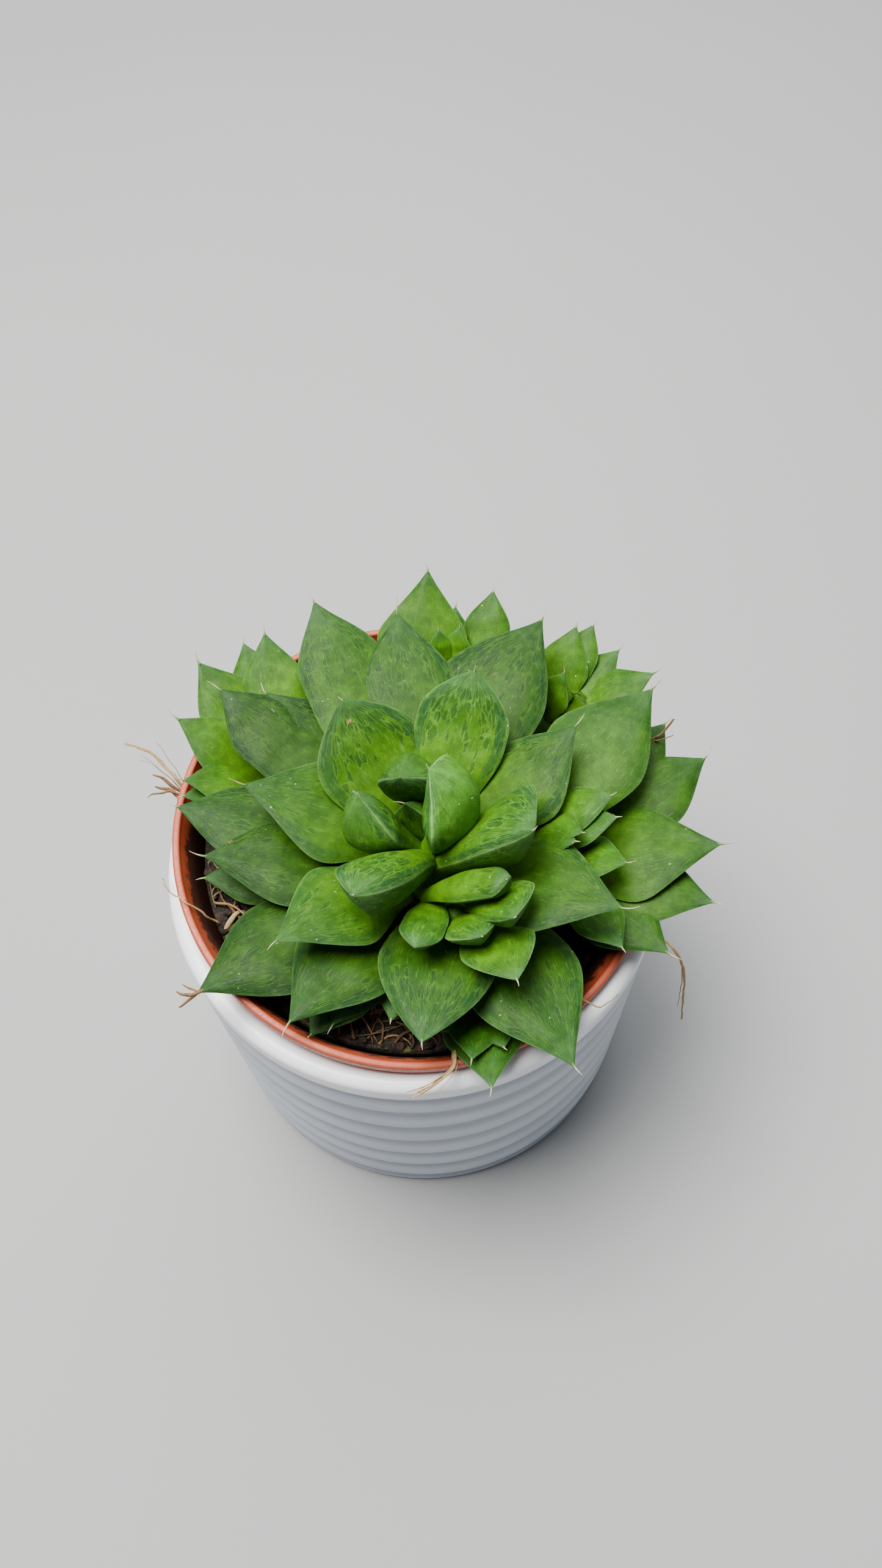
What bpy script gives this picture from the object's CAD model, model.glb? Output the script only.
import random
from collections import namedtuple
from math import atan2, cos, degrees, hypot, pi, radians, sin, sqrt
import bpy
from mathutils import Matrix, Vector, noise


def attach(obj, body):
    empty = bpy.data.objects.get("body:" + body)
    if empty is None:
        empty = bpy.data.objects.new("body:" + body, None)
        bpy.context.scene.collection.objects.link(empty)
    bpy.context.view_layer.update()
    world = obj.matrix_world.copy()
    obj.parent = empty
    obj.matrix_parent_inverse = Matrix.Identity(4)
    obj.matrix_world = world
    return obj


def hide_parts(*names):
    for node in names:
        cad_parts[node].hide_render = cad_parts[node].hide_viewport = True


# Potted haworthia: fine meshes, materials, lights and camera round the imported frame.
# Shapes are worked out in millimetres in the frame's axes, and written in metres.

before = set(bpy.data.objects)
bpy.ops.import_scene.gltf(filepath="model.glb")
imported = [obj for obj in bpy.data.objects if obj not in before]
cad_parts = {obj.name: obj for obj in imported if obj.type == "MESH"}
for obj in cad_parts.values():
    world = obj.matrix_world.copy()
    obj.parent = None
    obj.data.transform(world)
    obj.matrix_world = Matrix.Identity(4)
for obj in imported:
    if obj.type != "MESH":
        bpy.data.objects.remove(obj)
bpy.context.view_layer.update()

MM = 0.001
GAP = 0.35  # clear space kept to the nursery pot's rim
noise.seed_set(1)  # the kinks of dry strands draw on it

# ---- driving sizes, as in the solids ----

COVER = dict(
    height=88.0, rim_radius=56.0, rim_band=6.0, wall=5.0,
    wall_top_radius=55.4, base_radius=53.6, floor=6.0, bevel=1.6,
)
RIBS = dict(pitch=12.4, first_groove=8.0, depth=0.5, wander=1.3)  # 0.05 deeper than the solid's
NURSERY = dict(
    centre=(0.5, -0.8, 98.0), lean_x=-0.068, lean_y=0.098, rim_radius=52.5, lip=1.6,
    collar=3.4, wall=1.0, shoulder_radius=49.4, foot_radius=36.0, height=88.0, floor=1.5,
)
LIP_TAPER = 0.4  # how much the nursery pot narrows just below its rim, inside
SOIL = dict(below=9.5, mound=2.2, bumps=0.9, inset=0.4)

# ---- what only the fine model has on the soil ----
# Heights, sizes and lengths are in mm and sectors in degrees, and a pair is a range.
# Crumbs and fibres lie mostly in the sectors that no leaf covers.

PEAT = dict(lumps=1.5, crumbs=0.55, rings=110, segments=330)
CRUMBS = dict(
    count=420, sectors=((150, 260), (240, 300), (0, 360)), area=(0.25, 0.97), above=(0.0, 0.7),
    size=(0.5, 1.5), stretch=((0.7, 1.5), (0.7, 1.3), (0.4, 0.8)), rough=0.45, levels=5, sides=7,
)
FIBRES = dict(
    count=260, sectors=((160, 235), (235, 292), (0, 360)), innermost=27, length=(6, 17),
    curl=(-9, 9), arch=(0.2, 2.2), thick=(0.12, 0.38), shade=(0.3, 0.85), warmth=(0.3, 1.0), steps=8,
)

# ---- leaves and dry strands ----

# A leaf is (azimuth, reach, rise, width, thickness, bow %, roll, start, azimuth of its
# root, skew, shape) in degrees and mm, youngest first, and the last three may be left out.
# "windows" is how strongly the see-through streaks show, "fresh" how yellow the green is,
# "toothed" how long the margin's teeth are, "tones" which leaves are darker or paler.
ROSETTES = {
    "rosette_main": dict(
        crown=(2.6, -9.8, 104), stem=7, windows=0.95, fresh=0.35, toothed=0.06,
        tones={
            0: 0.9, 1: 0.85, 2: 1.6, 7: 1.2, 14: 0.88, 15: 0.75, 17: 0.75, 18: 0.85, 19: 0.85,
            20: 0.75, 22: 1.25,
        },
        leaves=[
            (146, 4.6, 16.5, 14, 7, -10, 0, 1, 60),
            (132, 6.5, 22.6, 14, 10, -14, 0, 8, 80, 0, "blunt"),
            (60, 3, 28.5, 23, 13, -22, -8, -1, -8, 0.05, "wedge"),
            (173, 12.5, 22.5, 17, 12, -14, 38, 0, -10, 0, "wedge"),
            (-126, 25, 23, 14.5, 11, 14, 20, 4, -30, -0.35, "wedge"),
            (-28, 23, 25, 22, 10, 10, -22, 5.5, -110, 0.65, "wedge"),
            (118, 32, 18, 25, 7, -14, 0, 5, 110, 0, "blunt"),
            (67, 34, 20, 20.5, 7, -14, 0, 7, 72, 0, "blunt"),
            (159, 40, 10, 27, 7, 4, 0, 8, 125),
            (-146, 38, 8, 22, 7, 10, 0, 8),
            (-31, 43, 11, 24, 7, 10, 0, 8),
            (30, 39, 14, 21, 6, -5, 0, 8, 30, -0.1),
            (-96, 43, 4, 24, 7, 12, 0, 9, -60, 0, "broad"),
            (92, 57, 10, 23, 7, 5, 0, 8),
            (59, 60, 10, 26, 7, 5, 0, 8, 95, 0.1),
            (130, 51, 8, 19, 6, -5, 0, 8, 130, -0.15),
            (109, 63, 13, 20, 6, -3, 0, 8),
            (137, 58, 10, 17, 6, -3, 0, 8),
            (177, 47, 2, 22, 7, 8, 0, 8),
            (164, 55, 2, 18, 6, 6, 0, 8),
            (-152, 55, -3, 22, 7, 10, 0, 8),
            (-131, 46, -1, 23, 7, 10, 0, 8),
            (-63, 54, -3, 24, 7, 12, 0, 10, -35),
            (-128, 44, -10, 14, 5, 5, 0, 8),
            (-124, 40, -9, 12, 5, 5, 0, 8),
            (177, 49, -8, 13, 5, 5, 0, 8),
            (-107, 35.7, -7, 10, 4, 5, 0, 8),
        ],
    ),
    "rosette_front": dict(
        crown=(7, -26, 112), stem=4, windows=0.9, fresh=0.8, toothed=0.07,
        leaves=[
            (-3, 10.9, 10.5, 7, 6, 8, -6, 7, 146, -0.2, "blunt"),
            (-40, 13.8, 9.5, 12, 5, 5, 0, 3, 20, 0.55, "blunt"),
            (-128, 14, 5, 8.8, 5, 12, 0, 5, 130, 0, "blunt"),
            (-68, 11.5, 6.5, 11, 5, 5, 0, 1, -68, 0, "blunt"),
            (-62, 21.5, 4, 16, 4, 8, 0, 4, -20, 0.1, "broad"),
        ],
    ),
    "rosette_right": dict(
        crown=(29, -10, 105), stem=5, windows=0.45, fresh=0.55, toothed=0.16,
        leaves=[
            (-41, 7, 10, 11, 4, 5, 0, -6, -40),
            (-57, 7, 9, 9, 4, 5, 0, -7, -20),
            (20, 14, 8, 10.5, 4, 5, 0, 7, 140),
            (2, 13.6, 6.3, 10, 4, 5, 0, 5, 150),
            (-33, 17, 4, 13, 4, 5, 0, 2),
            (50, 41, 7, 24, 7, 6, 0, 6, 135),
            (-6, 36, -2, 28, 7, 8, 0, 6),
            (-25, 36, -6, 20, 6, 8, 0, 6),
            (-50, 33, -7, 17, 6, 8, 0, 6),
            (-67, 28, -1, 11, 4, 8, 0, 6),
            (44, 42, -4, 14, 5, 8, 0, 6),
            (27, 42, -4, 18, 6, 8, 0, 6),
            (44, 25.5, 4, 9, 4, 4, 0, 8),
        ],
    ),
    "rosette_left": dict(
        crown=(-26, 14, 101), stem=5, windows=0.4, fresh=0.85, toothed=0.1,
        leaves=[
            (100, 10, 10, 10, 4, -8, 0, 1),
            (97, 33, 10, 15, 5, 0, 0, 5),
            (126, 33, 9, 16, 5, 0, 0, 5),
            (106, 34, 7, 13, 5, 0, 0, 5),
            (153, 27, 8, 15, 5, 5, 0, 5),
            (-173, 23, 6, 15, 5, 8, 0, 5),
            (-168, 24, 3, 13, 5, 8, 0, 5),
        ],
    ),
    "rosette_back": dict(
        crown=(11, 34, 101), stem=4, windows=0.3, fresh=0.6, toothed=0.1,
        tones={0: 1.35, 1: 1.35, 2: 0.85},
        leaves=[
            (99, 8, 12, 6, 4, -5, 0, 1),
            (66, 9, 12, 7, 4, -5, 0, 1),
            (95, 25, 13, 26, 6, 0, 0, 5, 160, 0.1),
            (59, 25, 8, 11, 5, 4, 0, 7, 10),
            (158, 20, 4, 14, 5, 6, 0, 4),
            (80, 22, 3, 14, 5, 6, 0, 4),
        ],
    ),
    "rosette_back_right": dict(
        crown=(32, 26, 99), stem=4, windows=0.3, fresh=0.8, toothed=0.1,
        leaves=[
            (32, 6, 11, 9, 4, 0, 0, 0),
            (61, 21, 8, 13, 5, 2, 0, 3),
            (53, 24, 7, 10, 4, 2, 0, 3),
            (11, 27, 5, 16, 5, 6, 0, 4),
            (34, 24, 4, 14, 5, 6, 0, 4),
        ],
    ),
    "rosette_front_low": dict(
        crown=(11, -36, 95), stem=3, windows=0.35, fresh=0.25, toothed=0.1,
        leaves=[
            (-101, 18, 3, 11, 4, 5, 0, 2),
            (-78, 16, 2, 8, 4, 5, 0, 2),
            (-90, 23, 1, 20, 6, 8, 0, 2),
            (-142, 16, 2, 9, 4, 5, 0, 3),
        ],
    ),
}
Leaf = namedtuple(
    "Leaf", "azimuth reach rise width thick bow roll start root_azimuth skew shape",
    defaults=(None, 0, "pointed"),
)
# full: how many widths from its tip a leaf is full. drawn_out: whether its point is. waist:
# the share of its length from which it narrows to the share of its width that root gives.
# bristle: how long its bristle is beside a pointed leaf's.
LEAF_SHAPES = {
    "pointed": dict(full=0.85, drawn_out=True, waist=0.45, root=0.5, bristle=1.0),
    "broad": dict(full=0.8, drawn_out=False, waist=0.45, root=0.5, bristle=0.65),
    "blunt": dict(full=0.57, drawn_out=False, waist=0.45, root=0.5, bristle=0.5),
    "wedge": dict(full=0.6, drawn_out=False, waist=0.2, root=0.37, bristle=0.55),
}
# face: the share of a leaf's thickness above its middle. edge: its thinnest half size.
LEAF = dict(face=0.3, edge=0.12, rings=44, sides=36)
ERECT_REACH = 9  # a leaf that reaches less faces the way that its root does
# A leaf that rises less than level roots lower down its stem, but stays above the soil.
ROOTING = dict(level=16, drop=0.6, deepest=14, above_soil=2.5)
# A leaf's look changes over these ranges, in mm: the young leaves rise most, and are
# fresher and clearer, and the lowest and the farthest out are in the shade.
YOUNG_RISE = (2, 20)
CLEAR_RISE = (11, 23)
SHADED_RISE = (-8, 6)
OUTER_REACH = (20, 50)
AWN = dict(length=(2.6, 4.4), sunk=1.0, thick=0.24, thin=0.04, full_width=16, steps=8)

# Dry strands that stand for the solids' ones: the same hand-placed routes, with splits
# that spread from them, how flat they are and how brown.
STRANDS = {
    "dry_stalk_left": dict(
        radius=0.5, flat=0.8, splits=4, spread=3.4, brown=0.35,
        route=[(-44, 9, 86), (-47, 11, 96), (-51, 14, 103.2), (-56, 20, 105), (-62, 23, 105.5)],
    ),
    "dry_straw_front": dict(
        radius=0.85, flat=0.4, splits=5, spread=1.7, brown=0.05,
        route=[
            (4, -44, 84), (4.5, -49, 92.2), (3.5, -53.6, 94.4), (-1, -56.5, 92), (-5, -57.5, 90),
        ],
    ),
    "dry_root_right": dict(
        radius=0.4, flat=1.0, splits=1, spread=1.2, brown=0.5,
        route=[
            (42, -24, 82), (46, -27, 92), (50.5, -31, 95), (54.5, -34.5, 89), (56.5, -36, 76),
            (58, -37, 62),
        ],
    ),
}
# Loose roots, a twig and withered bits: radius, how much it swells in the middle, how
# brown, and the route.
LOOSE_BITS = [
    # Roots that hang over the rims, at the front right and at the left.
    (0.28, 0.0, 0.1, [
        (27, -37, 88), (30.5, -40, 91.5), (32.3, -41.8, 93.2), (35.5, -43, 91.8), (39.9, -39.5, 88.6),
    ]),
    (0.25, 0.0, 0.2, [
        (-43, -17, 92), (-46.5, -16, 98), (-49.5, -14.5, 100.9), (-53.5, -9.5, 96), (-56.5, -3, 89),
    ]),
    # A forked twig at the right.
    (0.45, 0.0, 0.9, [(46, 11, 92), (52, 13, 98), (55, 14.5, 101), (57.5, 15.5, 103), (60, 17, 105.5)]),
    (0.32, 0.0, 0.9, [(55, 14.5, 101), (57, 13.6, 103), (59.5, 13.8, 104)]),
    # A shrivelled husk on the soil.
    (0.4, 1.0, 0.25, [(-42.5, -17.5, 90.5), (-41, -16, 91.4), (-39.5, -14.5, 91.6), (-38, -13.5, 90.8)]),
    # Withered bits at the left clump.
    (0.35, 0.7, 0.9, [(-49, 9.5, 99), (-51.5, 11.5, 101.6), (-53.5, 12.4, 102.4), (-56, 13, 102.2)]),
    (0.3, 0.7, 1.0, [(-50, 12, 100), (-53.5, 14.5, 102), (-56.5, 16.8, 101.4)]),
    (0.22, 0.6, 0.6, [(-50, 11, 100.5), (-53, 11, 103.2), (-55, 10, 104.6), (-56.5, 8.6, 105)]),
    # And at the tip of a front left leaf.
    (0.3, 0.7, 0.9, [
        (-44.5, -34.9, 101.1), (-46.8, -36.0, 101.3), (-48.6, -36.2, 101.9), (-49.9, -35.4, 101.8),
    ]),
    (0.24, 0.6, 1.0, [
        (-45.2, -35.3, 101.1), (-47.2, -36.8, 101.2), (-48.6, -38.0, 101.8), (-49.2, -38.8, 102.6),
    ]),
    (0.2, 0.5, 0.5, [(-45.5, -35.3, 101.2), (-47.4, -35.2, 102.2), (-48.6, -34.6, 103.2)]),
]
DRIEST = 0.65  # how dark the brownest strand is beside the palest

# ---- colours ----
# As they show on screen, 0 to 255. A ground is two shades that a surface varies between.
# A coat lies over the colours before it, and its second value is how strongly it covers.

GROUNDS = dict(
    young_leaf=((58, 102, 6), (72, 120, 10)),
    old_leaf=((34, 78, 12), (50, 94, 18)),
    bristle=((78, 116, 40), (178, 170, 138)),
    rim_glaze=((246, 248, 250), (251, 251, 252)),
    wall_glaze=((186, 194, 205), (198, 205, 214)),
    bare_clay=((196, 184, 166), (216, 206, 190)),
    terracotta=((162, 66, 36), (176, 78, 46)),
    peat=((12, 9, 6), (42, 31, 20)),
    light_straw=((186, 160, 108), (140, 98, 56)),
    dark_straw=((110, 84, 50), (66, 42, 22)),
    floor=((158, 158, 157), (164, 164, 163)),
)
COATS = dict(
    leaf_root=((70, 114, 4), 0.6),
    leaf_tip=((34, 76, 24), 0.6),
    pane=((24, 58, 30), 0.68),
    vein=((94, 138, 42), 0.32),
    dark_band=((30, 66, 38), 0.65),
    dash=((102, 146, 50), 0.34),
    bloom=((70, 110, 62), 0.45),
    underside=((64, 108, 32), 0.45),
    margin=((122, 158, 84), 0.48),
    dot=((120, 156, 74), 0.32),
    fleck=((180, 200, 170), 0.8),
    scar=((150, 116, 70), 1.0),
    dry_bristle=((140, 108, 70), 0.7),
    groove=((146, 156, 171), 0.85),
    pinhole=((150, 140, 126), 0.4),
    dust=((126, 84, 62), 0.3),
    scratch=((190, 116, 88), 0.35),
    peat_smear=((38, 25, 17), 0.88),
    bark=((74, 50, 30), 0.55),
    moss=((78, 98, 28), 0.6),
    pale_grain=((150, 128, 98), 1.0),
)

# ---- the camera, at the photograph's angle ----

PHOTO_HEIGHT = 2569  # pixels
CAMERA = dict(
    focal=1940,  # pixels of the photograph
    sensor=36.0,  # mm, the long side
    nearest=0.01,  # m, where its view starts
    distance=268.8,  # mm from the middle of the cover pot's rim
    elevation=61.9,  # degrees above the horizon
    turn=1.553,  # degrees that it looks past the rim's middle, to the right
    tilt=-2.927,  # and downwards
    roll=5.04,
)


def make_camera():
    elevation = radians(CAMERA["elevation"])
    back = Vector((0, -cos(elevation), sin(elevation)))
    right = Vector((1, 0, 0))
    stand = Matrix((right, back.cross(right), back)).transposed()
    aim = (
        Matrix.Rotation(radians(CAMERA["roll"]), 3, "Z")
        @ Matrix.Rotation(radians(CAMERA["tilt"]), 3, "X")
        @ Matrix.Rotation(radians(CAMERA["turn"]), 3, "Y")
    )
    data = bpy.data.cameras.new("camera")
    data.sensor_width = CAMERA["sensor"]
    data.lens = CAMERA["focal"] / PHOTO_HEIGHT * CAMERA["sensor"]
    data.clip_start = CAMERA["nearest"]
    camera = add_object("camera", data)
    place = back * CAMERA["distance"] + Vector((0, 0, COVER["height"]))
    camera.matrix_world = Matrix.Translation(place * MM) @ (stand @ aim.transposed()).to_4x4()
    bpy.context.scene.camera = camera


# ---- small helpers ----

def lerp(low, high, share):
    return low + (high - low) * share


def smoothstep(value, low, high):
    x = min(max((value - low) / (high - low), 0.0), 1.0)
    return x * x * (3 - 2 * x)


def direction(azimuth):
    """The level direction of an azimuth in degrees."""
    angle = radians(azimuth)
    return Vector((cos(angle), sin(angle), 0.0))


def angles(count):
    """Angles evenly spaced round a circle."""
    return [2 * pi * k / count for k in range(count)]


def taper(radius, loss):
    """The radius of a tube that loses a share of it on the way."""
    return lambda share: radius * (1 - loss * share)


def bezier(root, control, tip, share):
    rest = 1 - share
    return root * rest * rest + control * 2 * rest * share + tip * share * share


def bezier_tangent(root, control, tip, share):
    return ((control - root) * (1 - share) + (tip - control) * share).normalized()


def add_object(name, data):
    made = bpy.data.objects.new(name, data)
    bpy.context.collection.objects.link(made)
    return made


class Builder:
    """Collects the points and faces of one object, in mm, with three vectors per point.

    On a leaf, place is across and along it in mm, form is across, up and along as shares,
    and look is how clear, how fresh and how light it is. A strand's look is its shade and
    warmth. A pot's form starts with how deep in a groove or in the pot a point lies.
    """

    def __init__(self):
        self.points = []
        self.faces = []
        self.slots = []
        self.place = []
        self.form = []
        self.look = []

    def add_point(self, point, place=(0, 0, 0), form=(0, 0, 0), look=(0, 0, 0)):
        self.points.append(tuple(point))
        self.place.append(place)
        self.form.append(form)
        self.look.append(look)
        return len(self.points) - 1

    def add_face(self, corners, slot=0):
        self.faces.append(corners)
        self.slots.append(slot)

    def loft(self, rings, start, end, slot=0):
        """Joins equal rings of point numbers, and closes the ends on single points."""
        count = len(rings[0])
        for low, high in zip(rings, rings[1:]):
            for k in range(count):
                after = (k + 1) % count
                self.add_face((low[k], low[after], high[after], high[k]), slot)
        for k in range(count):
            after = (k + 1) % count
            self.add_face((start, rings[0][after], rings[0][k]), slot)
            self.add_face((rings[-1][k], rings[-1][after], end), slot)

    def tube(self, path, radius_at, sides, slot=0, look=(0, 0, 0), flat=1.0):
        """A closed tube along a list of points; radius_at takes a share of the way."""
        rings = []
        last = len(path) - 1
        across = path[min(1, last)] - path[0]
        across = across.normalized().orthogonal().normalized()
        for i, point in enumerate(path):
            ahead = path[min(i + 1, last)] - path[max(i - 1, 0)]
            tangent = ahead.normalized()
            across = (across - tangent * across.dot(tangent)).normalized()
            other = tangent.cross(across)
            radius = radius_at(i / last)
            ring = []
            for turn in angles(sides):
                spoke = across * cos(turn) + other * (sin(turn) * flat)
                ring.append(self.add_point(point + spoke * radius, look=look, form=(0, 0, i / last)))
            rings.append(ring)
        start = self.add_point(path[0], look=look)
        end = self.add_point(path[-1], look=look, form=(0, 0, 1))
        self.loft(rings, start, end, slot)

    def make(self, name, *materials):
        mesh = bpy.data.meshes.new(name)
        mesh.from_pydata([(x * MM, y * MM, z * MM) for x, y, z in self.points], [], self.faces)
        for attribute, values in (("place", self.place), ("form", self.form), ("look", self.look)):
            data = mesh.attributes.new(attribute, "FLOAT_VECTOR", "POINT").data
            data.foreach_set("vector", [part for value in values for part in value])
        for material in materials:
            mesh.materials.append(material)
        mesh.polygons.foreach_set("material_index", self.slots)
        mesh.polygons.foreach_set("use_smooth", [True] * len(mesh.polygons))
        mesh.validate()
        mesh.update()
        return add_object(name, mesh)


def turn_profile(builder, profile, segments, rule):
    """Turns [radius, z] rows, which start and end on the axis, round Z."""
    rings = []
    for radius, z in profile[1:-1]:
        ring = []
        for azimuth in angles(segments):
            point = Vector((radius * cos(azimuth), radius * sin(azimuth), z))
            ring.append(builder.add_point(rule(point, radius, azimuth)))
        rings.append(ring)
    ends = [Vector((0, 0, profile[0][1])), Vector((0, 0, profile[-1][1]))]
    start, end = [builder.add_point(rule(point, 0, 0)) for point in ends]
    builder.loft(rings, start, end)


def arc(centre, radius, start, end, steps):
    """Profile points on an arc, angles in degrees."""
    rows = []
    for i in range(steps + 1):
        angle = radians(lerp(start, end, i / steps))
        rows.append((centre[0] + radius * cos(angle), centre[1] + radius * sin(angle)))
    return rows


def finish_piece(piece, node=None):
    """Rides a piece on the only body, and lets it stand for a solid where one is named."""
    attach(piece, "root")
    if node:
        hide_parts(node)


# ---- shader nodes ----

def srgb(red, green, blue):
    """A colour as it shows on screen, 0 to 255, in the shader's linear numbers."""
    parts = []
    for value in (red, green, blue):
        value /= 255
        parts.append(value / 12.92 if value <= 0.04045 else ((value + 0.055) / 1.055) ** 2.4)
    return (*parts, 1.0)


class Shader:
    """One procedural material, built up node by node. Scales are features per mm."""

    def __init__(self, name, **values):
        self.material = bpy.data.materials.new(name)
        self.material.use_nodes = True
        self.tree = self.material.node_tree
        self.surface = self.tree.nodes["Principled BSDF"]
        for socket, value in values.items():
            self.surface.inputs[socket.replace("_", " ")].default_value = value

    def node(self, kind, inputs, output=0, **settings):
        made = self.tree.nodes.new("ShaderNode" + kind)
        for key, value in settings.items():
            setattr(made, key, value)
        for socket, value in inputs.items():
            if isinstance(value, bpy.types.NodeSocket):
                self.tree.links.new(value, made.inputs[socket])
            else:
                made.inputs[socket].default_value = value
        return made.outputs[output]

    def set(self, socket, value):
        self.tree.links.new(value, self.surface.inputs[socket])

    def attribute(self, name):
        return self.node("Attribute", {}, "Vector", attribute_name=name)

    def split(self, vector):
        made = self.tree.nodes.new("ShaderNodeSeparateXYZ")
        self.tree.links.new(vector, made.inputs[0])
        return made.outputs

    def position(self):
        """The place in the object's frame, in mm."""
        return self.scaled(self.node("TexCoord", {}, "Object"), (1 / MM,) * 3)

    def vectors(self, operation, first, second):
        return self.node("VectorMath", {0: first, 1: second}, operation=operation)

    def scaled(self, vector, factors):
        return self.vectors("MULTIPLY", vector, factors)

    def calc(self, operation, first, second=0.0):
        return self.node("Math", {0: first, 1: second}, operation=operation)

    def times(self, first, second):
        return self.calc("MULTIPLY", first, second)

    def plus(self, first, second):
        return self.calc("ADD", first, second)

    def minus(self, first, second):
        return self.calc("SUBTRACT", first, second)

    def fade(self, value, low, high, start=0.0, end=1.0):
        """From start to end as the value goes from low to high, smoothly."""
        if low > high:
            low, high, start, end = high, low, end, start
        inputs = {"Value": value, "From Min": low, "From Max": high, "To Min": start, "To Max": end}
        return self.node("MapRange", inputs, interpolation_type="SMOOTHSTEP")

    def noise(self, vector, scale=1.0, detail=3.0, rough=0.55, output="Fac"):
        inputs = {"Vector": vector, "Scale": scale, "Detail": detail, "Roughness": rough}
        return self.node("TexNoise", inputs, output)

    def clouds(self, vector, scale, detail=3.0, start=0.0, end=1.0):
        """Noise that is spread out from start to end."""
        return self.fade(self.noise(vector, scale, detail), 0.3, 0.7, start, end)

    def wavy(self, vector, scale, amount):
        """The vector, wandering by up to amount."""
        wander = self.noise(vector, scale, 2.0, output="Color")
        centred = self.vectors("SUBTRACT", wander, (0.5,) * 3)
        return self.vectors("ADD", vector, self.scaled(centred, (amount * 2,) * 3))

    def cells(self, vector, scale=1.0, feature="F1", output="Distance"):
        inputs = {"Vector": vector, "Scale": scale, "Randomness": 1.0}
        return self.node("TexVoronoi", inputs, output, feature=feature)

    def mix(self, factor, first, second, blend="MIX"):
        inputs = {0: factor, 6: first, 7: second}
        return self.node("Mix", inputs, 2, data_type="RGBA", blend_type=blend)

    def ground(self, name, factor):
        """From the first to the second shade of a ground."""
        first, second = GROUNDS[name]
        return self.mix(factor, srgb(*first), srgb(*second))

    def coat(self, name, cover, below):
        """The colour below with a coat over it, where cover is 1."""
        colour, strength = COATS[name]
        return self.mix(self.times(cover, strength), below, srgb(*colour))

    def shaded(self, colour, tone):
        """A colour made darker or lighter by a plain number."""
        grey = self.node("CombineXYZ", {0: tone, 1: tone, 2: tone})
        return self.mix(1.0, colour, grey, "MULTIPLY")

    def bump(self, height, distance, strength=1.0, under=None):
        """Relief of a height in mm, over the relief under it."""
        inputs = {"Height": height, "Distance": distance * MM, "Strength": strength}
        if under is not None:
            inputs["Normal"] = under
        return self.node("Bump", inputs)


# ---- materials ----

def leaf_green(made, position, share, fresh):
    """The flesh's own green: yellower towards the root, and cooler towards the tip."""
    cloud = made.clouds(position, 0.14)
    colour = made.mix(fresh, made.ground("old_leaf", cloud), made.ground("young_leaf", cloud))
    colour = made.coat("leaf_root", made.fade(share, 0.35, 0.85), colour)
    cool = made.fade(made.plus(share, made.times(cloud, 0.15)), 0.6, 0.1)
    return made.coat("leaf_tip", cool, colour)


def leaf_windows(made, place, rim, share, on_face, windows):
    """See-through panes towards the tip and the margins, and the pale veins between them."""
    stretched = made.scaled(made.wavy(place, 0.35, 0.6), (0.95, 0.26, 1.0))
    island, _, _ = made.split(made.cells(stretched, output="Color"))
    vein = made.fade(made.cells(stretched, feature="DISTANCE_TO_EDGE"), 0.13, 0.04)
    reach = made.plus(share, made.times(made.minus(island, 0.5), 0.6))
    reach = made.minus(reach, made.times(made.times(rim, rim), 0.22))
    reach = made.plus(reach, made.times(made.minus(1.0, on_face), 0.25))
    extent = made.fade(windows, 0.2, 0.95, 0.0, 0.27)
    inside = made.fade(made.minus(reach, extent), 0.06, 0.0)
    inside = made.times(inside, made.fade(windows, 0.0, 0.8))
    streaks = made.noise(made.scaled(place, (2.6, 0.5, 1.0)), detail=2.0)
    panes = made.times(made.times(inside, made.minus(1.0, vein)), made.fade(streaks, 0.35, 0.65, 0.45))
    return panes, made.times(inside, vein)


def leaf_edges(made, place, rim, share, on_face, windows, colour):
    """A dark ragged band inside the margin, pale dashes, and bloom at the margin and tip."""
    ragged = made.noise(made.scaled(place, (0.9, 0.3, 1.0)))
    inner_edge = made.plus(rim, made.times(made.minus(ragged, 0.5), 0.3))
    band = made.times(made.fade(inner_edge, 0.72, 0.79), made.fade(rim, 0.96, 0.9))
    band = made.times(band, made.times(on_face, made.fade(share, 0.85, 0.5)))
    colour = made.coat("dark_band", made.times(band, windows), colour)
    dashes = made.noise(made.scaled(place, (3.0, 0.36, 1.0)), detail=2.0)
    dashes = made.times(made.fade(dashes, 0.57, 0.69), made.fade(share, 0.85, 0.45))
    colour = made.coat("dash", dashes, colour)
    near_rim = made.times(made.fade(rim, 0.9, 0.98), made.fade(share, 0.8, 0.3))
    return made.coat("bloom", made.calc("MAXIMUM", near_rim, made.fade(share, 0.18, 0.03)), colour)


def leaf_spots(made, position, colour):
    """Pale dots all over, and here and there a fleck or a brown scar."""
    colour = made.coat("dot", made.fade(made.cells(position, 2.4), 0.16, 0.06), colour)
    flecks = made.fade(made.cells(made.wavy(position, 3.0, 0.4), 0.42), 0.1, 0.05)
    patches = made.fade(made.noise(position, 0.09, 1.0), 0.54, 0.62)
    colour = made.coat("fleck", made.times(flecks, patches), colour)
    scars = made.cells(made.wavy(position, 1.5, 1.0), 0.055)
    return made.coat("scar", made.fade(scars, 0.045, 0.025), colour)


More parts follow.
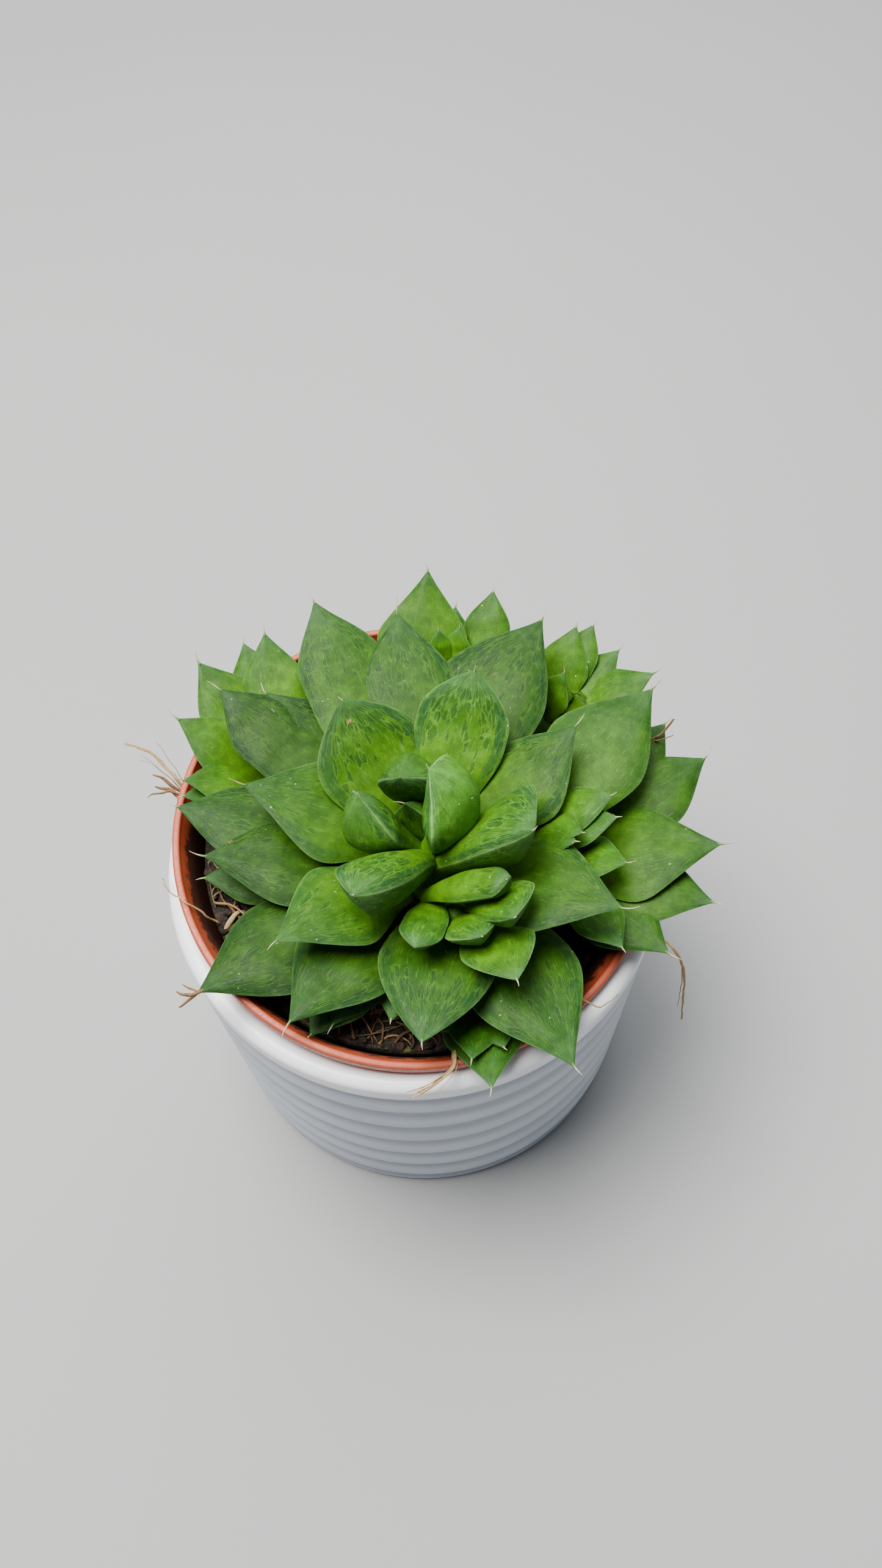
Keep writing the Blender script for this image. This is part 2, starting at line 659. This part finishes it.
def leaf_material():
    """Fleshy leaf: see-through windows between pale veins towards its tip and margins."""
    made = Shader(
        "haworthia_leaf", Roughness=0.5, Specular_IOR_Level=0.12,
        Subsurface_Weight=0.06, Subsurface_Scale=0.002, Subsurface_Radius=(0.5, 1.0, 0.2),
    )
    place = made.attribute("place")
    across, height, share = made.split(made.attribute("form"))
    windows, fresh, shade = made.split(made.attribute("look"))
    position = made.position()
    rim = made.calc("ABSOLUTE", across)
    on_face = made.fade(height, -0.35, 0.1)

    colour = leaf_green(made, position, share, fresh)
    panes, veins = leaf_windows(made, place, rim, share, on_face, windows)
    colour = made.coat("vein", veins, made.coat("pane", panes, colour))
    colour = leaf_edges(made, place, rim, share, on_face, windows, colour)
    colour = made.coat("underside", made.fade(height, -0.05, -0.4), colour)
    colour = made.coat("margin", made.fade(rim, 0.975, 0.998), colour)
    colour = leaf_spots(made, position, colour)
    mottle = made.fade(made.noise(position, 0.45, 4.0, 0.6), 0.35, 0.68, 0.8, 1.14)
    grain = made.clouds(position, 5.0, 2.0, 0.88, 1.12)
    made.set("Base Color", made.shaded(colour, made.times(shade, made.times(mottle, grain))))

    skin = made.noise(position, 2.6)
    made.set("Roughness", made.fade(skin, 0.3, 0.7, 0.44, 0.58))
    made.set("Normal", made.bump(skin, 0.05, 0.4, made.bump(veins, 0.06, 0.4)))
    return made.material


def bristle_material():
    """Green at its root, then pale, with brown streaks."""
    made = Shader("bristle", Roughness=0.6)
    _, _, share = made.split(made.attribute("form"))
    streaks = made.noise(made.scaled(made.position(), (2.0, 2.0, 0.6)))
    colour = made.ground("bristle", made.fade(share, 0.1, 0.6))
    brown = made.times(made.fade(streaks, 0.55, 0.7), made.fade(share, 0.3, 0.8))
    made.set("Base Color", made.coat("dry_bristle", brown, colour))
    return made.material


def glaze_material():
    """White tin glaze: thick on the rim, thinner and bluer on the wall and in its grooves."""
    made = Shader("white_glaze", Roughness=0.38, Coat_Weight=0.12, Coat_Roughness=0.2)
    groove, _, _ = made.split(made.attribute("form"))
    position = made.position()
    _, _, height = made.split(position)
    cloud = made.clouds(position, 0.045)
    wall = made.coat("groove", groove, made.ground("wall_glaze", cloud))
    band_foot = COVER["height"] - COVER["rim_band"]
    thick = made.fade(height, band_foot - 1.5, band_foot + 1.5)
    colour = made.mix(thick, wall, made.ground("rim_glaze", cloud))
    bare = made.fade(height, 0.6, 0.2)
    colour = made.mix(bare, colour, made.ground("bare_clay", made.noise(position, 1.2)))
    pinholes = made.fade(made.cells(position, 0.16), 0.05, 0.02)
    made.set("Base Color", made.coat("pinhole", pinholes, colour))
    gloss = made.clouds(position, 0.3, 4.0, 0.34, 0.44)
    made.set("Roughness", made.plus(gloss, made.times(bare, 0.5)))
    peel = made.bump(made.noise(position, 0.22, 2.0), 0.02, 0.15)
    made.set("Normal", made.bump(made.noise(position, 1.1, 2.0), 0.005, 0.15, peel))
    return made.material


def terracotta_material():
    """Terracotta-coloured plastic, scuffed and dusty at the rim and smeared with peat inside."""
    made = Shader("terracotta_plastic", Roughness=0.5, Subsurface_Weight=0.05, Subsurface_Scale=0.001)
    deep, _, _ = made.split(made.attribute("form"))
    position = made.position()
    colour = made.ground("terracotta", made.clouds(position, 0.12))
    colour = made.coat("dust", made.fade(made.noise(position, 0.9, 4.0), 0.56, 0.72), colour)
    scratches = made.noise(made.scaled(position, (0.25, 0.25, 3.5)), detail=4.0)
    colour = made.coat("scratch", made.fade(scratches, 0.64, 0.7), colour)
    smear = made.plus(deep, made.clouds(position, 0.5, 4.0, -0.35, 0.15))
    made.set("Base Color", made.coat("peat_smear", made.fade(smear, 0.3, 0.75), colour))
    made.set("Roughness", made.clouds(position, 1.5, start=0.42, end=0.6))
    made.set("Normal", made.bump(made.noise(position, 1.8), 0.05, 0.4))
    return made.material


def peat_material():
    """Damp black peat with bark, patches of moss and a few pale grains."""
    made = Shader("peat", Roughness=0.92)
    position = made.position()
    lumps = made.noise(position, 0.7, 4.0)
    colour = made.ground("peat", made.fade(lumps, 0.35, 0.68))
    colour = made.coat("bark", made.fade(made.noise(position, 0.32, 2.0), 0.56, 0.66), colour)
    moss = made.fade(made.noise(position, 0.12, 2.0), 0.56, 0.64)
    colour = made.coat("moss", made.times(moss, made.fade(lumps, 0.45, 0.6)), colour)
    colour = made.coat("pale_grain", made.fade(made.cells(position, 0.33), 0.07, 0.04), colour)
    made.set("Base Color", colour)
    grain = made.cells(position, 1.3)
    made.set("Roughness", made.fade(grain, 0.1, 0.6, 0.75, 0.98))
    made.set("Normal", made.bump(grain, 0.5, 0.8, made.bump(lumps, 0.6, 0.7)))
    return made.material


def straw_material():
    """Dry stalks, roots and fibres: each strand's own shade, with dark streaks."""
    made = Shader("dry_straw", Roughness=0.8)
    shade, warmth, _ = made.split(made.attribute("look"))
    streaks = made.noise(made.position(), 1.4, 4.0)
    light = made.ground("light_straw", warmth)
    dark = made.ground("dark_straw", warmth)
    colour = made.mix(made.times(made.fade(streaks, 0.4, 0.7), 0.5), light, dark)
    made.set("Base Color", made.shaded(colour, shade))
    made.set("Roughness", made.fade(streaks, 0.3, 0.7, 0.7, 0.9))
    made.set("Normal", made.bump(streaks, 0.12, 0.6))
    return made.material


def floor_material():
    made = Shader("pale_floor", Roughness=0.75)
    made.set("Base Color", made.ground("floor", made.noise(made.position(), 0.004, 2.0)))
    return made.material


# ---- cover pot ----

def groove_at(z, azimuth):
    """0 on the broad crest of a rib, 1 at the bottom of the narrower groove."""
    below = COVER["height"] - z
    drift = RIBS["wander"] * (0.6 * sin(azimuth + 0.8) + 0.4 * sin(2 * azimuth + z / 17))
    phase = (below + drift - RIBS["first_groove"]) / RIBS["pitch"] * 2 * pi
    return ((1 + cos(phase)) / 2) ** 2


def rib_at(z, azimuth):
    """How far a rib stands out of the wall."""
    below = COVER["height"] - z
    first = RIBS["first_groove"]
    fade = smoothstep(below, first - 1.5, first + 1) * smoothstep(z, COVER["bevel"], COVER["bevel"] + 3)
    return RIBS["depth"] * (1 - 2 * groove_at(z, azimuth)) * fade


def make_cover_pot(material):
    height, rim, wall = COVER["height"], COVER["rim_radius"], COVER["wall"]
    base, floor, bevel = COVER["base_radius"], COVER["floor"], COVER["bevel"]
    foot_width, hollow = 5, 0.5
    outer_round, inner_round, floor_round = 2.3, 2.0, 5
    levels, segments = 150, 320
    band_foot = height - COVER["rim_band"]
    foot_ring = base - bevel - foot_width
    inner_foot = base - wall
    profile = [(0, hollow), (foot_ring - 1, hollow), (foot_ring - 0.4, 0.0), (base - bevel, 0)]
    profile += arc((base - bevel, bevel), bevel, -75, 0, 5)
    for i in range(1, levels + 1):
        z = lerp(bevel, band_foot - 1, i / levels)
        profile.append((lerp(base, COVER["wall_top_radius"], z / band_foot), z))
    profile += [(rim - 0.35, band_foot - 0.5), (rim - 0.05, band_foot), (rim, band_foot + 0.8)]
    profile += arc((rim - outer_round, height - outer_round), outer_round, 0, 90, 10)
    profile += arc((rim - wall + inner_round, height - inner_round), inner_round, 90, 180, 8)
    profile += arc((inner_foot - floor_round, floor + floor_round), floor_round, 0, -90, 6)
    profile += [(0, floor)]

    def ribbed(point, radius, azimuth):
        if radius < base - 0.01 or point.z > band_foot - 0.9:
            return point
        stretch = 1 + rib_at(point.z, azimuth) / radius
        return Vector((point.x * stretch, point.y * stretch, point.z))

    builder = Builder()
    turn_profile(builder, profile, segments, ribbed)
    for i, (x, y, z) in enumerate(builder.points):
        if hypot(x, y) > base - 1 and z < band_foot:
            builder.form[i] = (groove_at(z, atan2(y, x)), 0, 0)
    finish_piece(builder.make("cover_pot_glazed", material), "cover_pot")


# ---- nursery pot and soil ----

def lean_matrix():
    """From the leaning pot's own frame, with its rim at z = 0, to the part's frame."""
    up = Vector((-NURSERY["lean_x"], -NURSERY["lean_y"], 1)).normalized()
    turn = Vector((0, 0, 1)).rotation_difference(up)
    return Matrix.Translation(NURSERY["centre"]) @ turn.to_matrix().to_4x4()


LEAN = lean_matrix()
UPRIGHT = LEAN.inverted()


def nursery_outside(z):
    along = (-z - NURSERY["collar"]) / (NURSERY["height"] - NURSERY["collar"])
    return lerp(NURSERY["shoulder_radius"], NURSERY["foot_radius"], along)


def make_nursery_pot(material):
    rim, lip, collar, wall = (NURSERY[key] for key in ("rim_radius", "lip", "collar", "wall"))
    shoulder, foot = NURSERY["shoulder_radius"], NURSERY["foot_radius"]
    height, floor = NURSERY["height"], NURSERY["floor"]
    inner = rim - lip
    chamfer, shelf = 1, 0.7
    edge_round, outer_round, inner_round = 0.5, 0.6, 0.5
    clean, smeared = 0.5, 4.5  # mm below the rim, inside, where peat starts and is thickest
    levels, segments = 24, 180
    profile = [(0, -height), (foot - chamfer, -height), (foot, -height + chamfer)]
    for i in range(1, levels + 1):
        z = lerp(-height + chamfer, -collar - 4, i / levels)
        profile.append((lerp(foot, shoulder, i / levels), z))
    profile += [(shoulder + shelf, -collar), (rim - edge_round, -collar)]
    profile += arc((rim - edge_round, -collar + edge_round), edge_round, -60, 0, 3)
    profile += arc((rim - outer_round, -outer_round), outer_round, 0, 90, 5)
    profile += arc((inner + inner_round, -inner_round), inner_round, 90, 180, 4)
    first_inside = len(profile) - 1
    profile += [(inner - LIP_TAPER, -1.6), (shoulder - wall + shelf, -collar - wall)]
    profile += [(shoulder - wall, -collar - 5), (foot - wall, -height + floor), (0, -height + floor)]

    def leaning(point, radius, azimuth):
        sway = 1 + 0.0012 * sin(2 * azimuth + 0.7)
        return LEAN @ Vector((point.x * sway, point.y * sway, point.z))

    builder = Builder()
    turn_profile(builder, profile, segments, leaning)
    for i in range(first_inside * segments, (len(profile) - 2) * segments):
        spot = UPRIGHT @ Vector(builder.points[i])
        builder.form[i] = (smoothstep(-spot.z, clean, smeared), 0, 0)
    finish_piece(builder.make("nursery_pot_plastic", material), "nursery_pot")


def soil_top(radius, azimuth):
    """Height of the soil in the leaning pot's frame, as the solid has it."""
    share = radius / NURSERY["shoulder_radius"]
    mound = SOIL["mound"] * (1 - share * share)
    waves = sin(5 * azimuth + radius / 6) + sin(3 * azimuth - radius / 4 + 1)
    return -SOIL["below"] + mound + SOIL["bumps"] * 0.5 * waves * share


def soil_edge():
    return nursery_outside(-SOIL["below"]) - NURSERY["wall"] - GAP - SOIL["inset"]


def crumbly_top(radius, azimuth):
    """The same height with peat lumps and crumbs on it."""
    spot = Vector((radius * cos(azimuth), radius * sin(azimuth), 0))
    lumps = noise.fractal(spot * 0.16, 1.0, 2.0, 4)
    crumbs = noise.cell(spot * 0.7) * 0.5 + noise.noise(spot * 1.1)
    return soil_top(radius, azimuth) + PEAT["lumps"] * lumps + PEAT["crumbs"] * crumbs


def make_soil(material):
    edge = soil_edge()
    foot = NURSERY["foot_radius"] - NURSERY["wall"] - GAP
    bottom = -NURSERY["height"] + NURSERY["floor"] + GAP
    rings = PEAT["rings"]
    profile = [(0, bottom), (foot, bottom), (edge, -SOIL["below"] - 3)]
    profile += [(edge * (1 - i / rings), -SOIL["below"]) for i in range(rings + 1)]

    def crumbly(point, radius, azimuth):
        if point.z > -SOIL["below"] - 1:
            point = Vector((point.x, point.y, crumbly_top(radius, azimuth)))
        return LEAN @ point

    builder = Builder()
    turn_profile(builder, profile, PEAT["segments"], crumbly)
    finish_piece(builder.make("soil_peat", material), "soil")


def on_soil(radius, azimuth_degrees, above):
    """A point above the soil, given in the leaning pot's own polar frame."""
    azimuth = radians(azimuth_degrees)
    z = soil_top(radius, azimuth) + above
    return LEAN @ Vector((radius * cos(azimuth), radius * sin(azimuth), z))


def add_lump(builder, centre, stretch, offset):
    """A rough closed ball, and offset is what tells its roughness from the others'."""
    rings = []
    for i in range(1, CRUMBS["levels"]):
        polar = pi * i / CRUMBS["levels"]
        out = sin(polar)
        ring = []
        for turn in angles(CRUMBS["sides"]):
            spoke = Vector((out * cos(turn), out * sin(turn), cos(polar)))
            rough = 1 + CRUMBS["rough"] * noise.noise(spoke * 1.6 + offset)
            ring.append(builder.add_point(centre + spoke * stretch * rough))
        rings.append(ring)
    top = builder.add_point(centre + Vector((0, 0, stretch.z)))
    base = builder.add_point(centre - Vector((0, 0, stretch.z)))
    builder.loft(rings, top, base)


def make_crumbs(material):
    """Loose lumps of peat and bark on the soil."""
    draw = random.Random(5)
    builder = Builder()
    for _ in range(CRUMBS["count"]):
        radius = soil_edge() * sqrt(draw.uniform(*CRUMBS["area"]))
        azimuth = draw.choice([draw.uniform(*sector) for sector in CRUMBS["sectors"]])
        size = draw.uniform(*CRUMBS["size"])
        centre = on_soil(min(radius, soil_edge() - 1.2), azimuth, draw.uniform(*CRUMBS["above"]))
        stretch = Vector([draw.uniform(*span) for span in CRUMBS["stretch"]]) * size
        add_lump(builder, centre, stretch, Vector((draw.uniform(0, 99), 0, 0)))
    finish_piece(builder.make("peat_crumbs", material))


def make_fibres(material):
    """Brown fibres and rootlets that lie tangled on the soil."""
    draw = random.Random(11)
    builder = Builder()
    steps = FIBRES["steps"]
    for _ in range(FIBRES["count"]):
        azimuth = draw.choice([draw.uniform(*sector) for sector in FIBRES["sectors"]])
        start = direction(azimuth) * draw.uniform(FIBRES["innermost"], soil_edge() - 2)
        heading = draw.uniform(0, 360)
        length, curl, arch, thick = [
            draw.uniform(*FIBRES[key]) for key in ("length", "curl", "arch", "thick")
        ]
        path = []
        for i in range(steps + 1):
            spot = start + direction(heading + curl * i) * (length * (i / steps - 0.5))
            spot.x += 0.5 * noise.noise(spot * 0.4)
            far = min(spot.length, soil_edge() - 0.8)
            above = 0.35 + arch * sin(pi * i / steps) + 0.4 * noise.noise(spot * 0.3)
            path.append(on_soil(far, degrees(atan2(spot.y, spot.x)), max(above, 0.1)))
        look = (draw.uniform(*FIBRES["shade"]), draw.uniform(*FIBRES["warmth"]), 0)
        builder.tube(path, taper(thick, 0.5), 5, look=look)
    finish_piece(builder.make("peat_fibres", material))


# ---- leaves ----

def soil_under(crown):
    return (LEAN @ Vector((crown[0], crown[1], -SOIL["below"]))).z


def half_width(share, length, leaf, skew=0.0):
    """Half width of a leaf at a share of its length from the tip; skew widens this side."""
    shape = LEAF_SHAPES[leaf.shape]
    x = min(share * length / leaf.width / (shape["full"] * (1 - 0.35 * skew)), 1)
    outline = 1 - (1 - x) ** 2
    if shape["drawn_out"]:
        outline = (outline + smoothstep(x, 0, 1)) / 2
    narrowing = 1 - (1 - shape["root"]) * smoothstep(share, shape["waist"], 1)
    return max(leaf.width / 2 * outline * narrowing * (1 + skew), LEAF["edge"])


def section(angle, keel):
    """A leaf's cross-section as shares of its half width and of its depth."""
    a, b = cos(angle), sin(angle)
    side = abs(a)
    if b >= 0:
        return a, 0.84 * (1 - side ** 2.6) ** 0.85
    bulge = 1 + 0.05 * sin(angle) ** 2 * side
    return a * bulge, -0.95 * (1 - side ** lerp(1.9, 1.25, keel)) ** 0.75


def keep_clear(point):
    """Lifts a point off the nursery pot's rim, or moves it inside the pot's wall."""
    spot = UPRIGHT @ point
    radius = hypot(spot.x, spot.y)
    inner = NURSERY["rim_radius"] - NURSERY["lip"] - LIP_TAPER - GAP
    if spot.z > GAP or radius < inner - 4 or radius > NURSERY["rim_radius"] + GAP:
        return point
    if spot.z > -NURSERY["collar"] and radius > inner:
        spot.z = GAP
    elif spot.z <= -NURSERY["collar"]:
        limit = nursery_outside(spot.z) - NURSERY["wall"] - GAP
        shrink = min(limit / radius, 1)
        spot.x *= shrink
        spot.y *= shrink
    return LEAN @ spot


def leaf_frame(crown, leaf):
    """The curve of a leaf's middle, its length and the way that its breadth points."""
    root_azimuth = leaf.azimuth if leaf.root_azimuth is None else leaf.root_azimuth
    deepest = min(ROOTING["deepest"], crown[2] - soil_under(crown) - ROOTING["above_soil"])
    drop = min(max((ROOTING["level"] - leaf.rise) * ROOTING["drop"], 0), deepest)
    root = Vector(crown) + direction(root_azimuth) * leaf.start - Vector((0, 0, drop))
    tip = Vector(crown) + direction(leaf.azimuth) * leaf.reach + Vector((0, 0, leaf.rise))
    chord = tip - root
    length = chord.length
    chord.normalize()
    facing = direction(root_azimuth)
    if leaf.reach > ERECT_REACH:
        facing = Vector((chord.x, chord.y, 0)).normalized()
    side = Vector((-facing.y, facing.x, 0))
    side = (side - chord * side.dot(chord)).normalized()
    control = (root + tip) / 2 + chord.cross(side) * (leaf.bow / 100 * length)
    return root, control, tip, length, side


def add_leaf(builder, crown, leaf, look, seed, toothed):
    root, control, tip, length, side = leaf_frame(crown, leaf)
    width, face, edge = leaf.width, LEAF["face"], LEAF["edge"]
    rings = []
    margins = ([], [])
    for i in range(LEAF["rings"] + 1):
        share = (1 - i / LEAF["rings"]) ** 1.2
        centre = bezier(root, control, tip, 1 - share)
        tangent = bezier_tangent(root, control, tip, 1 - share)
        across = (side - tangent * side.dot(tangent)).normalized()
        across.rotate(Matrix.Rotation(radians(leaf.roll), 3, tangent))
        upwards = tangent.cross(across)
        half = half_width(share, length, leaf)
        halves = [half_width(share, length, leaf, leaf.skew * sign) for sign in (-1, 1)]
        depth = leaf.thick * min(half / (width / 2) * 1.05, 1) ** 0.8
        above = max(depth * face, edge)
        below = max(depth * (1 - face), edge)
        keel = 1 - smoothstep(share, 0.1, 0.6)
        ring = []
        for angle in angles(LEAF["sides"]):
            a, b = section(angle, keel)
            flat = Vector((a * width / 2, share * length, seed * 7.3))
            wave = noise.noise(flat * 0.13) * 0.5 + noise.noise(flat * 0.35) * 0.14
            up = b * (above if b > 0 else below) + wave * min(half / 3, 1)
            spot = keep_clear(centre + across * (a * halves[a > 0]) + upwards * up)
            place = (a * width / 2, share * length, seed * 3.7)
            ring.append(builder.add_point(spot, place, (cos(angle), b, share), look))
        rings.append(ring)
        if 0.04 < share < 0.62:
            margins[0].append((centre + across * halves[1], across, upwards, tangent))
            margins[1].append((centre - across * halves[0], -across, upwards, tangent))
    heart = Vector(crown).lerp(root, 0.5)
    heart.z = lerp(soil_under(crown), crown[2], 0.4)
    start = builder.add_point(heart, (0, length, seed), (0, 0, 1), look)
    end = builder.add_point(tip, (0, 0, seed), (0, 0, 0), look)
    builder.loft(rings, start, end)
    size = LEAF_SHAPES[leaf.shape]["bristle"] * min(width / AWN["full_width"], 1.1)
    add_awn(builder, tip, tangent, upwards, size, seed)
    for margin in margins:
        add_teeth(builder, margin, toothed, seed)


def add_awn(builder, tip, tangent, upwards, size, seed):
    """The dry bristle that a leaf's point runs out into."""
    draw = random.Random(1000 + seed)
    length = draw.uniform(*AWN["length"]) * size
    bend = upwards * draw.uniform(-0.15, 0.5) + tangent.cross(upwards) * draw.uniform(-0.35, 0.35)
    start = tip - tangent * AWN["sunk"]
    path = []
    for i in range(AWN["steps"] + 1):
        share = i / AWN["steps"]
        path.append(start + tangent * (length * share) + bend * (length * share ** 2))
    builder.tube(path, lambda share: AWN["thick"] * (1 - share) + AWN["thin"], 6, slot=1)


def add_teeth(builder, margin, length, seed):
    """Small pale teeth along one margin, leaning towards the tip."""
    draw = random.Random(seed * 2 + len(builder.points))
    for spot, outwards, upwards, tangent in margin:
        size = length * draw.uniform(0.6, 1.2)
        slant = outwards + tangent * draw.uniform(0.3, 0.9) + upwards * draw.uniform(-0.2, 0.4)
        foot = spot - outwards * 0.06 + tangent * draw.uniform(-0.3, 0.3)
        corners = []
        for turn in angles(3):
            spoke = tangent * cos(turn) + upwards * sin(turn)
            corners.append(builder.add_point(foot + spoke * size * 0.28, form=(0, 0, 0.2)))
        point = builder.add_point(foot + slant.normalized() * size, form=(0, 0, 1))
        for k in range(3):
            builder.add_face((corners[k], corners[(k + 1) % 3], point), 1)
        builder.add_face((corners[2], corners[1], corners[0]), 1)


def add_crown(builder, spec):
    """The short stem and crown that the leaves spring from."""
    x, y, z = spec["crown"]
    soil_here = soil_under(spec["crown"])
    bottom = soil_here - 4
    swell = ((1.0, 0.1), (1.4, 0.4), (1.1, 0.65), (0.6, 0.8))  # of the stem, on its way up
    rows = [(0.8, bottom)] + [(share, lerp(soil_here, z, up)) for share, up in swell]
    sides = 24
    look = (0.0, spec["fresh"], 0.7)
    rings = []
    for share, height in rows:
        ring = []
        for k in range(sides):
            spoke = direction(360 * k / sides) * (spec["stem"] * share)
            ring.append(builder.add_point(Vector((x, y, height)) + spoke, form=(0, -0.5, 1), look=look))
        rings.append(ring)
    start = builder.add_point((x, y, bottom), form=(0, 0, 1), look=look)
    end = builder.add_point((x, y, lerp(soil_here, z, 0.88)), form=(0, 0, 1), look=look)
    builder.loft(rings, start, end)


def leaf_look(spec, leaf, tone, draw):
    """How clear, how fresh and how light a leaf is, and young leaves are all three."""
    clear = lerp(0.6, 1.0, smoothstep(leaf.rise, *CLEAR_RISE))
    windows = spec["windows"] * draw.uniform(0.8, 1.15) * clear
    fresh = spec["fresh"] + 0.45 * smoothstep(leaf.rise, *YOUNG_RISE) + draw.uniform(-0.12, 0.12)
    shade = draw.uniform(0.9, 1.06) * lerp(0.86, 1.0, smoothstep(leaf.rise, *SHADED_RISE))
    shade *= lerp(1.0, 0.72, smoothstep(leaf.reach, *OUTER_REACH)) * tone
    return min(windows, 1.0), min(max(fresh, 0), 1), shade


def make_rosette(name, spec, materials, first_seed):
    draw = random.Random(first_seed)
    builder = Builder()
    add_crown(builder, spec)
    tones = spec.get("tones", {})
    for i, row in enumerate(spec["leaves"]):
        leaf = Leaf(*row)
        look = leaf_look(spec, leaf, tones.get(i, 1.0), draw)
        add_leaf(builder, spec["crown"], leaf, look, first_seed + i, spec["toothed"])
    finish_piece(builder.make(name + "_leaves", *materials), name)


# ---- dry strands ----

def catmull(route, steps):
    """Points on a smooth curve through a route."""
    points = [Vector(point) for point in route]
    points = [points[0] * 2 - points[1], *points, points[-1] * 2 - points[-2]]
    path = []
    spans = len(points) - 3
    for i in range(steps + 1):
        along = i / steps * spans
        span = min(int(along), spans - 1)
        t = along - span
        p0, p1, p2, p3 = points[span:span + 4]
        path.append(0.5 * (
            2 * p1 + (p2 - p0) * t + (2 * p0 - 5 * p1 + 4 * p2 - p3) * t * t
            + (3 * p1 - p0 - 3 * p2 + p3) * t * t * t
        ))
    return path


def knotty(path, amount, seed):
    """The same path with the small kinks of a dry stalk."""
    return [point + amount * noise.noise_vector(point * 0.35 + Vector((seed, 0, 0))) for point in path]


def add_split(builder, path, spec, draw):
    """A thin sliver that leaves a strand on one side."""
    first = int(draw.uniform(0.1, 0.45) * len(path))
    last = int(draw.uniform(0.75, 1.0) * len(path))
    aside = Vector([draw.uniform(-1, 1) * spec["spread"] for _ in range(3)])
    aside.z = abs(aside.z) * 0.4
    span = last - first - 1
    route = [point + aside * (i / span) ** 1.4 for i, point in enumerate(path[first:last])]
    thick = spec["radius"] * draw.uniform(0.2, 0.45)
    look = (draw.uniform(0.7, 1.0), min(spec["brown"] + draw.uniform(0, 0.4), 1), 0)
    builder.tube(route, taper(thick, 0.6), 5, look=look, flat=spec["flat"])


def dry_look(brown):
    return lerp(1.0, DRIEST, brown), brown, 0


def make_strands(material):
    for seed, (name, spec) in enumerate(STRANDS.items()):
        draw = random.Random(700 + seed)
        builder = Builder()
        path = knotty(catmull(spec["route"], 40), 0.35, seed * 5)
        thinning = taper(spec["radius"], 0.5)

        def knobbly(share):
            return thinning(share) * (1 + 0.15 * sin(share * 40))

        builder.tube(path, knobbly, 8, look=dry_look(spec["brown"]), flat=spec["flat"])
        for _ in range(spec["splits"]):
            add_split(builder, path, spec, draw)
        finish_piece(builder.make(name + "_fine", material), name)


def make_loose_bits(material):
    builder = Builder()
    for seed, (radius, swell, brown, route) in enumerate(LOOSE_BITS):
        path = knotty(catmull(route, 24), 0.5, 60 + seed * 5)
        thinning = taper(radius, 0.5)

        def swollen(share):
            return thinning(share) * (1 + swell * sin(pi * share))

        builder.tube(path, swollen, 7, look=dry_look(brown), flat=0.7)
    finish_piece(builder.make("loose_bits", material))


# ---- light and floor, in metres ----

FLOOR_REACH = 1.5
AIM = (0, 0, 0.09)  # the point that the lights face
LIGHTS = {
    "key": dict(place=(-0.25, 0.08, 1.0), size=0.6, watts=26, colour=(1.0, 0.99, 0.96)),
    "top": dict(place=(0.1, 0.6, 1.0), size=1.2, watts=13, colour=(0.97, 0.99, 1.0)),
}
SKY = dict(colour=(0.8, 0.88, 1.0, 1), strength=0.26)


def make_floor(material):
    builder = Builder()
    reach = FLOOR_REACH / MM
    corners = [(-reach, -reach, 0), (reach, -reach, 0), (reach, reach, 0), (-reach, reach, 0)]
    builder.add_face(tuple(builder.add_point(corner) for corner in corners))
    builder.make("floor", material)


def area_light(name, place, size, watts, colour):
    data = bpy.data.lights.new(name, "AREA")
    data.shape = "DISK"
    data.size = size
    data.energy = watts
    data.color = colour
    light = add_object(name, data)
    light.location = place
    light.rotation_mode = "QUATERNION"
    light.rotation_quaternion = (Vector(AIM) - Vector(place)).to_track_quat("-Z", "Y")


def make_lights():
    for name, light in LIGHTS.items():
        area_light(name, **light)
    world = bpy.data.worlds.new("studio")
    world.use_nodes = True
    background = world.node_tree.nodes["Background"]
    background.inputs["Color"].default_value = SKY["colour"]
    background.inputs["Strength"].default_value = SKY["strength"]
    bpy.context.scene.world = world


# ---- the scene ----

make_camera()
make_lights()
make_floor(floor_material())
make_cover_pot(glaze_material())
make_nursery_pot(terracotta_material())
peat = peat_material()
make_soil(peat)
make_crumbs(peat)
straw = straw_material()
make_fibres(straw)
make_strands(straw)
make_loose_bits(straw)
leaf_slots = [leaf_material(), bristle_material()]
for number, (rosette_name, rosette_spec) in enumerate(ROSETTES.items()):
    make_rosette(rosette_name, rosette_spec, leaf_slots, 40 * number)
